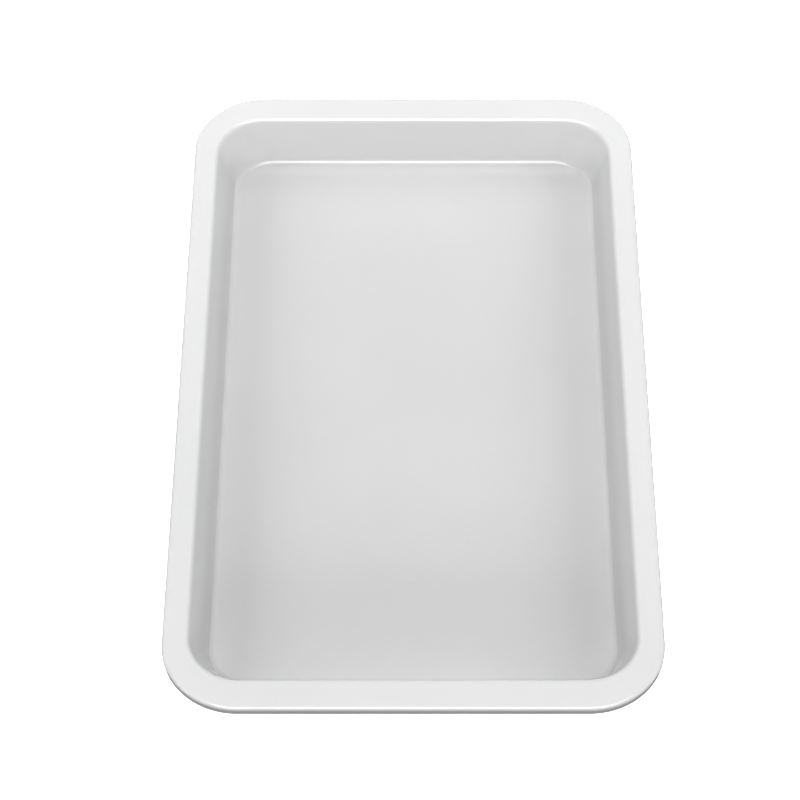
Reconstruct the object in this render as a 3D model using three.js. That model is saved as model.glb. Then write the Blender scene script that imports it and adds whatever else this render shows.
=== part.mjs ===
// A flat-bottomed paint roller tray: one injection-moulded shell of white plastic.
//
// Millimetres, +Z up. The origin is under the middle of the tray, on the surface that it stands on.
// X runs across the tray and Y along it. A flat rim with a turned-down lip surrounds a shallow well,
// whose walls lean in to a flat floor. The underside has a low foot bead round a recessed panel.
//
// The shell is one closed section swept round a rounded rectangle, so a section point is only an inset
// from the rim's outer edge and a height. The wall has two slopes, which a long soft knee joins.
import * as THREE from "three";

// Driving dimensions.
const LENGTH = 400; // over the rim, along Y
const WIDTH = 245; // over the rim, along X
const HEIGHT = 28; // foot bead to rim
const CORNER_RADIUS = 38; // rim's outer corners, seen from above
const RIM_WIDTH = 12.5; // outer edge to the mouth of the well, along the sides
const END_RIM_EXTRA = 4; // how much wider the rim is at the two ends
const WELL_DEPTH = 25; // rim's top face to floor
const WALL_RUN = 9.35; // how far the wall leans in, from mouth to floor
const FLOOR_CORNER_EXTRA = 5.5; // how much rounder the floor's corners are than an even offset of the rim
const UPPER_LEAN = THREE.MathUtils.degToRad(28); // upper part of the wall, from the vertical
const LOWER_LEAN = THREE.MathUtils.degToRad(15.5); // lower part
const THICKNESS = 2;
const LIP_DROP = 4.5; // rim's top face to the lip's lower edge
const FOOT_WIDTH = 5;

// Edge radii of the section.
const FLOOR_RADIUS = 3; // floor to wall, inside the well
const KNEE_RADIUS = 40; // lower to upper part of the wall
const MOUTH_RADIUS = 2.2; // wall to rim
const LIP_RADIUS = 1.5; // rim to lip
const LIP_EDGE_RADIUS = 0.6;
const UNDERCUT_RADIUS = 0.5; // under the rim, at the lip and at the wall
const FOOT_RADIUS = 2;
const PANEL_RADIUS = 0.6;

// How finely the curves are cut.
const CORNER_STEPS = 12; // round each corner of the plan
const ARC_DIVISIONS = 2; // a Path cuts each arc into twice as many lines
const FLAT_MARGIN = 2; // section's ends reach this far past the last curve

const FLOOR = HEIGHT - WELL_DEPTH;

// Insets of the wall's two parts at a height, for the face that lies this far behind the well's.
function upperWall(height, behind) {
  return RIM_WIDTH + (HEIGHT - height) * Math.tan(UPPER_LEAN) - behind / Math.cos(UPPER_LEAN);
}

function lowerWall(height, behind) {
  return RIM_WIDTH + WALL_RUN - (height - FLOOR) * Math.tan(LOWER_LEAN) - behind / Math.cos(LOWER_LEAN);
}

// Where the wall's two parts meet, as a section corner.
function knee(behind) {
  const gap = upperWall(0, behind) - lowerWall(0, behind);
  const height = gap / (Math.tan(UPPER_LEAN) - Math.tan(LOWER_LEAN));
  return [upperWall(height, behind), height, KNEE_RADIUS];
}

// The closed section, as sharp corners [inset, height, radius], from the floor's edge over the rim and
// back under it to the recessed panel. Its two open ends lie on the floor and on the panel.
function sectionCorners() {
  const panel = FLOOR - THICKNESS;
  const underRim = HEIGHT - THICKNESS;
  const lipFoot = HEIGHT - LIP_DROP;
  const footOuter = lowerWall(0, THICKNESS);
  const footInner = footOuter + FOOT_WIDTH;
  const end = footInner + FLAT_MARGIN;
  return [
    [end, FLOOR, 0],
    [lowerWall(FLOOR, 0), FLOOR, FLOOR_RADIUS],
    knee(0),
    [RIM_WIDTH, HEIGHT, MOUTH_RADIUS],
    [0, HEIGHT, LIP_RADIUS],
    [0, lipFoot, LIP_EDGE_RADIUS],
    [THICKNESS, lipFoot, LIP_EDGE_RADIUS],
    [THICKNESS, underRim, UNDERCUT_RADIUS],
    [upperWall(underRim, THICKNESS), underRim, UNDERCUT_RADIUS],
    knee(THICKNESS),
    [footOuter, 0, FOOT_RADIUS],
    [footInner, 0, PANEL_RADIUS],
    [footInner, panel, PANEL_RADIUS],
    [end, panel, 0],
  ];
}

// A path through the corners, each one rounded to its radius by an arc that touches both sides.
function roundedPath(corners) {
  const points = corners.map(([x, y]) => new THREE.Vector2(x, y));
  const path = new THREE.Path();
  path.moveTo(points[0].x, points[0].y);
  for (let i = 1; i < points.length - 1; i++) {
    const before = points[i - 1].clone().sub(points[i]).normalize();
    const after = points[i + 1].clone().sub(points[i]).normalize();
    const halfAngle = Math.acos(before.dot(after)) / 2;
    const radius = corners[i][2];
    const reach = radius / Math.tan(halfAngle);
    const start = points[i].clone().addScaledVector(before, reach);
    const finish = points[i].clone().addScaledVector(after, reach);
    const bisector = before.clone().add(after).normalize();
    const centre = points[i].clone().addScaledVector(bisector, radius / Math.sin(halfAngle));
    const startAngle = start.clone().sub(centre).angle();
    const finishAngle = finish.clone().sub(centre).angle();
    const clockwise = before.cross(after) > 0;
    path.lineTo(start.x, start.y);
    path.absarc(centre.x, centre.y, radius, startAngle, finishAngle, clockwise);
  }
  path.lineTo(points.at(-1).x, points.at(-1).y);
  return path;
}

// One level of the shell: the rim's outline moved in by inset, counter-clockwise seen from above. The
// lip's levels share one set of corner centres. The well's are nearer the middle of the tray, and move
// further in down the wall, where the corners are rounder.
function ring(inset, height) {
  const endExtra = inset < RIM_WIDTH / 2 ? 0 : END_RIM_EXTRA;
  const wallShare = THREE.MathUtils.clamp((inset - RIM_WIDTH) / WALL_RUN, 0, 1);
  const cornerExtra = wallShare * FLOOR_CORNER_EXTRA;
  const centreX = WIDTH / 2 - CORNER_RADIUS - cornerExtra;
  const centreY = LENGTH / 2 - CORNER_RADIUS - endExtra - cornerExtra;
  const radius = CORNER_RADIUS - inset + cornerExtra;
  const points = [];
  for (let quarter = 0; quarter < 4; quarter++) {
    const signX = quarter === 0 || quarter === 3 ? 1 : -1;
    const signY = quarter < 2 ? 1 : -1;
    for (let step = 0; step <= CORNER_STEPS; step++) {
      const angle = ((quarter + step / CORNER_STEPS) * Math.PI) / 2;
      const x = signX * centreX + radius * Math.cos(angle);
      const y = signY * centreY + radius * Math.sin(angle);
      points.push(new THREE.Vector3(x, y, height));
    }
  }
  return points;
}

// The swept section, closed by the floor at its first ring and by the underside at its last.
function shellGeometry() {
  const section = roundedPath(sectionCorners()).getPoints(ARC_DIVISIONS);
  const rings = section.map(({ x, y }) => ring(x, y));
  const around = rings[0].length;
  const centres = [section[0], section.at(-1)].map(({ y }) => new THREE.Vector3(0, 0, y));
  const points = [...rings.flat(), ...centres];
  const [floorCentre, panelCentre] = [points.length - 2, points.length - 1];
  const lastRing = (rings.length - 1) * around;
  const faces = [];
  for (let j = 0; j < around; j++) {
    const next = (j + 1) % around;
    faces.push(floorCentre, j, next);
    for (let first = 0; first < lastRing; first += around) {
      const second = first + around;
      faces.push(first + j, second + j, second + next);
      faces.push(first + j, second + next, first + next);
    }
    faces.push(panelCentre, lastRing + next, lastRing + j);
  }
  const geometry = new THREE.BufferGeometry().setFromPoints(points);
  geometry.setIndex(faces);
  geometry.computeVertexNormals();
  return geometry;
}

const whitePlastic = new THREE.MeshStandardMaterial({
  color: new THREE.Color(0.86, 0.86, 0.87),
  roughness: 0.25,
  metalness: 0,
});

const trayShell = new THREE.Mesh(shellGeometry(), whitePlastic);
trayShell.name = "tray_shell";

const tray = new THREE.Group();
tray.add(trayShell);

export default tray;
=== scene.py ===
"""The looks of a one-piece white plastic paint roller tray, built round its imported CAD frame."""
import math

import bpy
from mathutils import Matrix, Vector
from mathutils.geometry import delaunay_2d_cdt


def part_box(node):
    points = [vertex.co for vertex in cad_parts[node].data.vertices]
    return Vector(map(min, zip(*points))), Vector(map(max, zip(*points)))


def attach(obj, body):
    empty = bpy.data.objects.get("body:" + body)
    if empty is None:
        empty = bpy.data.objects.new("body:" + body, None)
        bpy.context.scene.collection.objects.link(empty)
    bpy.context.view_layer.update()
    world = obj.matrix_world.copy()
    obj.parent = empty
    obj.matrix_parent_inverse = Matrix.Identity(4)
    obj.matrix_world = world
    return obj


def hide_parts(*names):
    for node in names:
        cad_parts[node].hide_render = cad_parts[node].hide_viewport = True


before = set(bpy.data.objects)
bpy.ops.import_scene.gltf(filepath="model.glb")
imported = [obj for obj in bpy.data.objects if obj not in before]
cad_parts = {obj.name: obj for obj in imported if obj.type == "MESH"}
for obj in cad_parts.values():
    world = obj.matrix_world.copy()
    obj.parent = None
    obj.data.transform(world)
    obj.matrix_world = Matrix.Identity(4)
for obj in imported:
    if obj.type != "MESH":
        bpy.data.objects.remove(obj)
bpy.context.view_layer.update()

NODE = "tray_shell"
BODY = "root"

# The tray's section, in metres. Its overall size comes from the CAD node.
MM = 0.001
LOW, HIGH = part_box(NODE)
LENGTH = HIGH[1] - LOW[1]
WIDTH = HIGH[0] - LOW[0]
HEIGHT = HIGH[2] - LOW[2]
CORNER_RADIUS = 38 * MM  # rim's outer corners, seen from above
RIM_WIDTH = 12.5 * MM  # outer edge to the mouth of the well, along the sides
END_RIM_EXTRA = 4 * MM  # how much wider the rim is at the two ends
WELL_DEPTH = 25 * MM  # rim's top face to floor
WALL_RUN = 9.35 * MM  # how far the wall leans in, from mouth to floor
FLOOR_CORNER_EXTRA = 5.5 * MM  # how much rounder the floor's corners are than an even offset of the rim
UPPER_LEAN = math.radians(28)  # upper part of the wall, from the vertical
LOWER_LEAN = math.radians(15.5)  # lower part
THICKNESS = 2 * MM
LIP_DROP = 4.5 * MM  # rim's top face to the lip's lower edge
FOOT_WIDTH = 5 * MM
FLOOR = HEIGHT - WELL_DEPTH
PANEL = FLOOR - THICKNESS  # recessed panel under the floor

# Edge radii of the section.
FLOOR_RADIUS = 3 * MM  # floor to wall, inside the well
KNEE_RADIUS = 40 * MM  # lower to upper part of the wall
MOUTH_RADIUS = 2.2 * MM  # wall to rim
LIP_RADIUS = 1.5 * MM  # rim to lip
LIP_EDGE_RADIUS = 0.6 * MM
UNDERCUT_RADIUS = 0.5 * MM  # under the rim, at the lip and at the wall
FOOT_RADIUS = 2 * MM
PANEL_RADIUS = 0.6 * MM
FLAT_MARGIN = 2 * MM  # section's ends reach this far past the last curve

# How finely the moulding is cut.
ARC_STEP = math.radians(7)
SECTION_STEP = 3 * MM
CORNER_STEPS = 24
SIDE_STEP = 10 * MM
PATCH_STEP = 12 * MM
MARK_STEPS = 24

# Moulding marks, as (x, y, radius, depth). A mark with a negative depth stands proud of its face.
FLOOR_MARKS = [(0.0, -111 * MM, 1.1 * MM, 0.25 * MM)]
GATE_MARK = (0.0, 0.0, 3 * MM, -0.5 * MM)
EJECTOR_MARKS = [
    (side * 62 * MM, row * 110 * MM, 5 * MM, 0.2 * MM) for row in (-1, 0, 1) for side in (-1, 1)
]
MARK_EDGE = 0.35  # share of a mark's radius taken by its sloping edge
MARK_RINGS = (1.25, 1.0, 1 - MARK_EDGE / 2, 1 - MARK_EDGE)  # rings of points round a mark, in radii

# Plastic: its tint and gloss vary slowly, like clouds, and two fine bumps roughen its skin.
IOR = 1.59
WELL_PAINTED_SHADE = 0.9  # painted shade: below the rim's top face, the well and the lip are painted this much darker than the rim
DARK_TINT = (0.72, 0.721, 0.725, 1)
LIGHT_TINT = (0.735, 0.735, 0.735, 1)
ROUGHNESS = (0.10, 0.14)
CLOUD_RANGE = (0.3, 0.7)  # noise values that the tint and the roughness run between
CLOUD_SCALE = 11.0  # noise scales, per metre
PEEL_SCALE = 160.0
GRAIN_SCALE = 1500.0
SKIN_DEPTH = 0.01 * MM

# Camera and framing: the tray is seen from above its near short side, through a long lens.
CAMERA_ELEVATION = math.radians(53.1)
CAMERA_DISTANCE = 3.35 * LENGTH
CAMERA_LENS = 115.9
CAMERA_SHIFT = -0.0166
CAMERA_SENSOR = 36
CAMERA_REACH = 50
LOOK_AT = Vector((0, -0.038 * LENGTH, HEIGHT))

# Studio: each light as (name, azimuth, elevation, distance, (width, height), power), with the angles
# in degrees and azimuth 0 on the camera's side. Softboxes give the diffuse light and cards the gloss.
# The bounce lights and card_under stand in for the light that a white floor throws back.
LIGHTS_AIM = Vector((0, 0, 0.02))
SOFTBOXES = [
    ("key", 0, 62, 2.5, (1.7, 0.7), 41.0),
    ("front_low", 0, 14, 2.5, (1.7, 0.4), 20.5),
    ("left", -98, 28, 1.2, (0.8, 0.5), 5.2),
    ("right", 98, 28, 1.2, (0.8, 0.5), 5.2),
    ("back", 180, 45, 0.8, (0.8, 0.3), 1.2),
    ("back_low", 180, 30, 0.8, (1.0, 0.25), 1.4),
    ("bounce_left", -105, -20, 1.2, (0.9, 0.5), 5.0),
    ("bounce_right", 105, -20, 1.2, (0.9, 0.5), 5.0),
    ("bounce_back", 180, -20, 1.2, (0.9, 0.5), 5.0),
]
CARDS = [
    ("card_top", 0, 78, 1.2, (0.87, 1.2), 14.0),
    ("card_back", 180, 12, 1.5, (2.4, 0.5), 3.5),
    ("card_under", 180, -45, 1.5, (3.0, 1.5), 14.0),
]
SURROUND = 0.16
FLOOR_REACH = 4.0
FLOOR_SHADE = 0.93
FLOOR_ROUGHNESS = 0.9
FLOOR_GLOW = 0.9
CONTRAST = 1.6


def upper_wall(height, behind):
    """Inset of the wall's upper part at a height, for the face that lies this far behind the well's."""
    return RIM_WIDTH + (HEIGHT - height) * math.tan(UPPER_LEAN) - behind / math.cos(UPPER_LEAN)


def lower_wall(height, behind):
    """Inset of the wall's lower part at a height, for the face that lies this far behind the well's."""
    rise = (height - FLOOR) * math.tan(LOWER_LEAN)
    return RIM_WIDTH + WALL_RUN - rise - behind / math.cos(LOWER_LEAN)


def knee(behind):
    """Where the wall's two parts meet, as a section corner."""
    gap = upper_wall(0, behind) - lower_wall(0, behind)
    height = gap / (math.tan(UPPER_LEAN) - math.tan(LOWER_LEAN))
    return (upper_wall(height, behind), height, KNEE_RADIUS)


def section_corners():
    """The closed section's sharp corners as (inset, height, radius), from the floor over the rim and
    back under it to the recessed panel."""
    under_rim = HEIGHT - THICKNESS
    lip_foot = HEIGHT - LIP_DROP
    foot_outer = lower_wall(0, THICKNESS)
    foot_inner = foot_outer + FOOT_WIDTH
    end = foot_inner + FLAT_MARGIN
    return [
        (end, FLOOR, 0),
        (lower_wall(FLOOR, 0), FLOOR, FLOOR_RADIUS),
        knee(0),
        (RIM_WIDTH, HEIGHT, MOUTH_RADIUS),
        (0, HEIGHT, LIP_RADIUS),
        (0, lip_foot, LIP_EDGE_RADIUS),
        (THICKNESS, lip_foot, LIP_EDGE_RADIUS),
        (THICKNESS, under_rim, UNDERCUT_RADIUS),
        (upper_wall(under_rim, THICKNESS), under_rim, UNDERCUT_RADIUS),
        knee(THICKNESS),
        (foot_outer, 0, FOOT_RADIUS),
        (foot_inner, 0, PANEL_RADIUS),
        (foot_inner, PANEL, PANEL_RADIUS),
        (end, PANEL, 0),
    ]


def corner_arc(before, corner, after, radius):
    """Points of the arc that rounds a corner and touches both of its sides."""
    to_before = (before - corner).normalized()
    to_after = (after - corner).normalized()
    half_angle = to_before.angle(to_after) / 2
    centre = corner + (to_before + to_after).normalized() * radius / math.sin(half_angle)
    start = corner + to_before * radius / math.tan(half_angle) - centre
    turn = math.pi - 2 * half_angle
    if to_before.x * to_after.y - to_before.y * to_after.x > 0:
        turn = -turn
    steps = max(3, round(abs(turn) / ARC_STEP))
    points = []
    for step in range(steps + 1):
        angle = turn * step / steps
        x = start.x * math.cos(angle) - start.y * math.sin(angle)
        y = start.x * math.sin(angle) + start.y * math.cos(angle)
        points.append(centre + Vector((x, y)))
    return points


def section_points():
    """The section as a chain of points, with its straight stretches cut into short pieces."""
    corners = section_corners()
    sharp = [Vector(corner[:2]) for corner in corners]
    chain = [sharp[0]]
    for i in range(1, len(sharp) - 1):
        arc = corner_arc(sharp[i - 1], sharp[i], sharp[i + 1], corners[i][2])
        chain += straight(chain[-1], arc[0]) + arc
    return chain + straight(chain[-1], sharp[-1]) + [sharp[-1]]


def straight(start, end):
    """Points between two ends, both left out."""
    pieces = max(1, math.ceil((end - start).length / SECTION_STEP))
    return [start.lerp(end, piece / pieces) for piece in range(1, pieces)]


def outline_spokes():
    """(root, direction) pairs round the plan: a point of the outline is root + direction * radius."""
    reach_x = WIDTH / 2 - CORNER_RADIUS
    reach_y = LENGTH / 2 - CORNER_RADIUS
    roots = [Vector((x * reach_x, y * reach_y)) for x, y in ((1, 1), (-1, 1), (-1, -1), (1, -1))]
    spokes = []
    for quarter, root in enumerate(roots):
        for step in range(CORNER_STEPS + 1):
            angle = (quarter + step / CORNER_STEPS) * math.pi / 2
            spokes.append((root, Vector((math.cos(angle), math.sin(angle)))))
        next_root = roots[(quarter + 1) % 4]
        pieces = round((next_root - root).length / SIDE_STEP)
        direction = spokes[-1][1]
        spokes += [(root.lerp(next_root, piece / pieces), direction) for piece in range(1, pieces)]
    return spokes


def level_points(inset, height, spokes):
    """One level of the shell. The well's levels are shorter than the lip's by the ends' extra rim, and
    the change is spread over the flat of the rim. Down the wall the corners grow rounder."""
    flat_start = THICKNESS + UNDERCUT_RADIUS
    flat_end = RIM_WIDTH - flat_start
    end_extra = clamped((inset - flat_start) / (flat_end - flat_start)) * END_RIM_EXTRA
    corner_extra = clamped((inset - RIM_WIDTH) / WALL_RUN) * FLOOR_CORNER_EXTRA
    shrink_x = 1 - corner_extra / (WIDTH / 2 - CORNER_RADIUS)
    shrink_y = 1 - (corner_extra + end_extra) / (LENGTH / 2 - CORNER_RADIUS)
    radius = CORNER_RADIUS - inset + corner_extra
    points = []
    for root, direction in spokes:
        place = Vector((root.x * shrink_x, root.y * shrink_y)) + direction * radius
        points.append(Vector((place.x, place.y, height)))
    return points


def clamped(share):
    return min(1.0, max(0.0, share))


def mark_relief(point, marks):
    """How far the face moves into the plastic at a point, for all of its marks."""
    depth = 0.0
    for x, y, radius, mark_depth in marks:
        inside = 1 - (point - Vector((x, y))).length / radius
        share = clamped(inside / MARK_EDGE)
        depth += mark_depth * share * share * (3 - 2 * share)
    return depth


def face_patch(outline, marks):
    """Triangles that fill an outline, with rings of points round each mark.
    Returns the points, the outline's first, and the triangles."""
    points = list(outline)
    edges = [(i, (i + 1) % len(outline)) for i in range(len(outline))]
    for x, y, radius, _ in marks:
        for share in MARK_RINGS:
            first = len(points)
            for step in range(MARK_STEPS):
                angle = 2 * math.pi * step / MARK_STEPS
                spoke = Vector((math.cos(angle), math.sin(angle)))
                points.append(Vector((x, y)) + spoke * radius * share)
                edges.append((first + step, first + (step + 1) % MARK_STEPS))
    reach_x = max(point.x for point in outline) - PATCH_STEP
    reach_y = max(point.y for point in outline) - PATCH_STEP
    columns = round(2 * reach_x / PATCH_STEP)
    rows = round(2 * reach_y / PATCH_STEP)
    for row in range(rows + 1):
        for column in range(columns + 1):
            point = Vector((reach_x * (2 * column / columns - 1), reach_y * (2 * row / rows - 1)))
            if all((point - Vector((x, y))).length > 1.5 * radius for x, y, radius, _ in marks):
                points.append(point)
    boundary = list(range(len(outline)))
    found, _, triangles, _, _, _ = delaunay_2d_cdt(points, edges, [boundary], 1, 1e-7)
    assert len(found) == len(points)
    return found, triangles


def build_moulding():
    """The whole tray as one closed mesh."""
    spokes = outline_spokes()
    around = len(spokes)
    vertices = []
    for inset, height in section_points():
        vertices += level_points(inset, height, spokes)
    faces = []
    levels = len(vertices) // around
    for level in range(levels - 1):
        for i in range(around):
            j = (i + 1) % around
            low, high = level * around, (level + 1) * around
            faces.append((low + i, high + i, high + j, low + j))
    add_patch(vertices, faces, 0, around, FLOOR_MARKS, upward=True)
    add_patch(vertices, faces, (levels - 1) * around, around, [GATE_MARK, *EJECTOR_MARKS], upward=False)
    mesh = bpy.data.meshes.new("tray_moulding")
    mesh.from_pydata(vertices, [], faces)
    mesh.validate()
    mesh.shade_smooth()
    tray = bpy.data.objects.new("tray_moulding", mesh)
    bpy.context.collection.objects.link(tray)
    normals = tray.modifiers.new("even_shading", "WEIGHTED_NORMAL")
    normals.keep_sharp = True
    return tray


def add_patch(vertices, faces, first, around, marks, upward):
    """Fills the ring of vertices that begins at first with a marked face."""
    ring = vertices[first:first + around]
    height = ring[0].z
    points, triangles = face_patch([vertex.to_2d() for vertex in ring], marks)
    offset = len(vertices) - around
    into_plastic = -1 if upward else 1
    for point in points[around:]:
        vertices.append(point.to_3d() + Vector((0, 0, height + into_plastic * mark_relief(point, marks))))
    for triangle in triangles:
        corners = [first + corner if corner < around else offset + corner for corner in triangle]
        faces.append(corners if upward else corners[::-1])


def add_node(tree, kind, **settings):
    """A shader node: a setting with the name of an input sets that input, any other the node itself."""
    node = tree.nodes.new(kind)
    for name, value in settings.items():
        label = name.replace("_", " ").title()
        if label in node.inputs:
            node.inputs[label].default_value = value
        else:
            setattr(node, name, value)
    return node


def white_plastic():
    """Glossy white moulded plastic, with slight clouding and a fine orange peel. Painted shade: all of it
    below the rim's top face, the well and the lip, is painted a little darker than the rim, following the
    height, with the change spread over the mouth's rounded edge."""
    material = bpy.data.materials.new("white_plastic")
    material.use_nodes = True
    tree = material.node_tree
    shader = tree.nodes["Principled BSDF"]
    shader.inputs["IOR"].default_value = IOR
    place = add_node(tree, "ShaderNodeTexCoord")
    clouds = add_node(tree, "ShaderNodeTexNoise", scale=CLOUD_SCALE, detail=3.0, roughness=0.55)
    tint = add_node(tree, "ShaderNodeValToRGB")
    finish = add_node(tree, "ShaderNodeMapRange")
    for end, label, color in ((0, "Min", DARK_TINT), (1, "Max", LIGHT_TINT)):
        tint.color_ramp.elements[end].position = CLOUD_RANGE[end]
        tint.color_ramp.elements[end].color = color
        finish.inputs["From " + label].default_value = CLOUD_RANGE[end]
        finish.inputs["To " + label].default_value = ROUGHNESS[end]
    split = add_node(tree, "ShaderNodeSeparateXYZ")
    # painted shade: below the rim's top face the tint is darkened, so the well and the lip read darker
    # than the rim
    painted_shade = add_node(tree, "ShaderNodeMapRange", from_min=HEIGHT - MOUTH_RADIUS, from_max=HEIGHT)
    painted_shade.inputs["To Min"].default_value = WELL_PAINTED_SHADE
    shaded_tint = add_node(tree, "ShaderNodeVectorMath", operation="SCALE")
    grain = add_node(tree, "ShaderNodeTexNoise", scale=GRAIN_SCALE, detail=2.0)
    peel = add_node(tree, "ShaderNodeTexNoise", scale=PEEL_SCALE, detail=1.0)
    grain_bump = add_node(tree, "ShaderNodeBump", strength=0.25, distance=SKIN_DEPTH)
    peel_bump = add_node(tree, "ShaderNodeBump", strength=0.3, distance=SKIN_DEPTH)
    links = tree.links
    for noise in (clouds, grain, peel):
        links.new(place.outputs["Object"], noise.inputs["Vector"])
    links.new(clouds.outputs["Fac"], tint.inputs["Fac"])
    links.new(place.outputs["Object"], split.inputs["Vector"])
    links.new(split.outputs["Z"], painted_shade.inputs["Value"])
    links.new(tint.outputs["Color"], shaded_tint.inputs["Vector"])
    links.new(painted_shade.outputs["Result"], shaded_tint.inputs["Scale"])
    links.new(shaded_tint.outputs["Vector"], shader.inputs["Base Color"])
    links.new(clouds.outputs["Fac"], finish.inputs["Value"])
    links.new(finish.outputs["Result"], shader.inputs["Roughness"])
    links.new(peel.outputs["Fac"], peel_bump.inputs["Height"])
    links.new(grain.outputs["Fac"], grain_bump.inputs["Height"])
    links.new(peel_bump.outputs["Normal"], grain_bump.inputs["Normal"])
    links.new(grain_bump.outputs["Normal"], shader.inputs["Normal"])
    return material


def add_camera():
    camera_data = bpy.data.cameras.new("camera")
    camera_data.sensor_width = CAMERA_SENSOR
    camera_data.lens = CAMERA_LENS
    camera_data.shift_x = CAMERA_SHIFT
    camera_data.clip_end = CAMERA_REACH
    camera = bpy.data.objects.new("camera", camera_data)
    towards = Vector((0, -math.cos(CAMERA_ELEVATION), math.sin(CAMERA_ELEVATION)))
    camera.location = LOOK_AT + towards * CAMERA_DISTANCE
    camera.rotation_euler = (math.pi / 2 - CAMERA_ELEVATION, 0, 0)
    bpy.context.collection.objects.link(camera)
    bpy.context.scene.camera = camera


def add_light(name, azimuth, elevation, distance, size, power):
    """A rectangular area light that faces the tray."""
    data = bpy.data.lights.new(name, "AREA")
    data.shape = "RECTANGLE"
    data.size, data.size_y = size
    data.energy = power
    light = bpy.data.objects.new(name, data)
    azimuth, elevation = math.radians(azimuth), math.radians(elevation)
    level = math.cos(elevation)
    towards = Vector((math.sin(azimuth) * level, -math.cos(azimuth) * level, math.sin(elevation)))
    light.location = LIGHTS_AIM + towards * distance
    light.rotation_euler = towards.to_track_quat("Z", "Y").to_euler()
    bpy.context.collection.objects.link(light)
    return light


def add_floor():
    """A plain white floor. It gives the tray neither light nor shadow, so that the near lip reads dark
    against it and the bounce lights reach the tray from below."""
    mesh = bpy.data.meshes.new("studio_floor")
    signs = ((-1, -1), (1, -1), (1, 1), (-1, 1))
    corners = [(x * FLOOR_REACH, y * FLOOR_REACH, 0) for x, y in signs]
    mesh.from_pydata(corners, [], [(0, 1, 2, 3)])
    floor = bpy.data.objects.new("studio_floor", mesh)
    floor.visible_diffuse = False
    floor.visible_glossy = False
    floor.visible_shadow = False
    bpy.context.collection.objects.link(floor)
    material = bpy.data.materials.new("studio_floor")
    material.use_nodes = True
    shader = material.node_tree.nodes["Principled BSDF"]
    shader.inputs["Base Color"].default_value = (FLOOR_SHADE, FLOOR_SHADE, FLOOR_SHADE, 1)
    shader.inputs["Roughness"].default_value = FLOOR_ROUGHNESS
    shader.inputs["Emission Color"].default_value = (1, 1, 1, 1)
    shader.inputs["Emission Strength"].default_value = FLOOR_GLOW
    mesh.materials.append(material)


def add_studio():
    """Soft light from all round the tray on a plain white floor."""
    add_floor()
    for softbox in SOFTBOXES:
        add_light(*softbox).visible_glossy = False
    for card in CARDS:
        add_light(*card).visible_diffuse = False
    scene = bpy.context.scene
    scene.world = bpy.data.worlds.new("surround")
    scene.world.use_nodes = True
    background = scene.world.node_tree.nodes["Background"]
    background.inputs["Color"].default_value = (1, 1, 1, 1)
    background.inputs["Strength"].default_value = SURROUND
    scene.view_settings.view_transform = "Standard"
    scene.view_settings.gamma = 1 / CONTRAST


add_camera()
add_studio()
tray = build_moulding()
tray.data.materials.append(white_plastic())
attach(tray, BODY)
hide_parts(NODE)
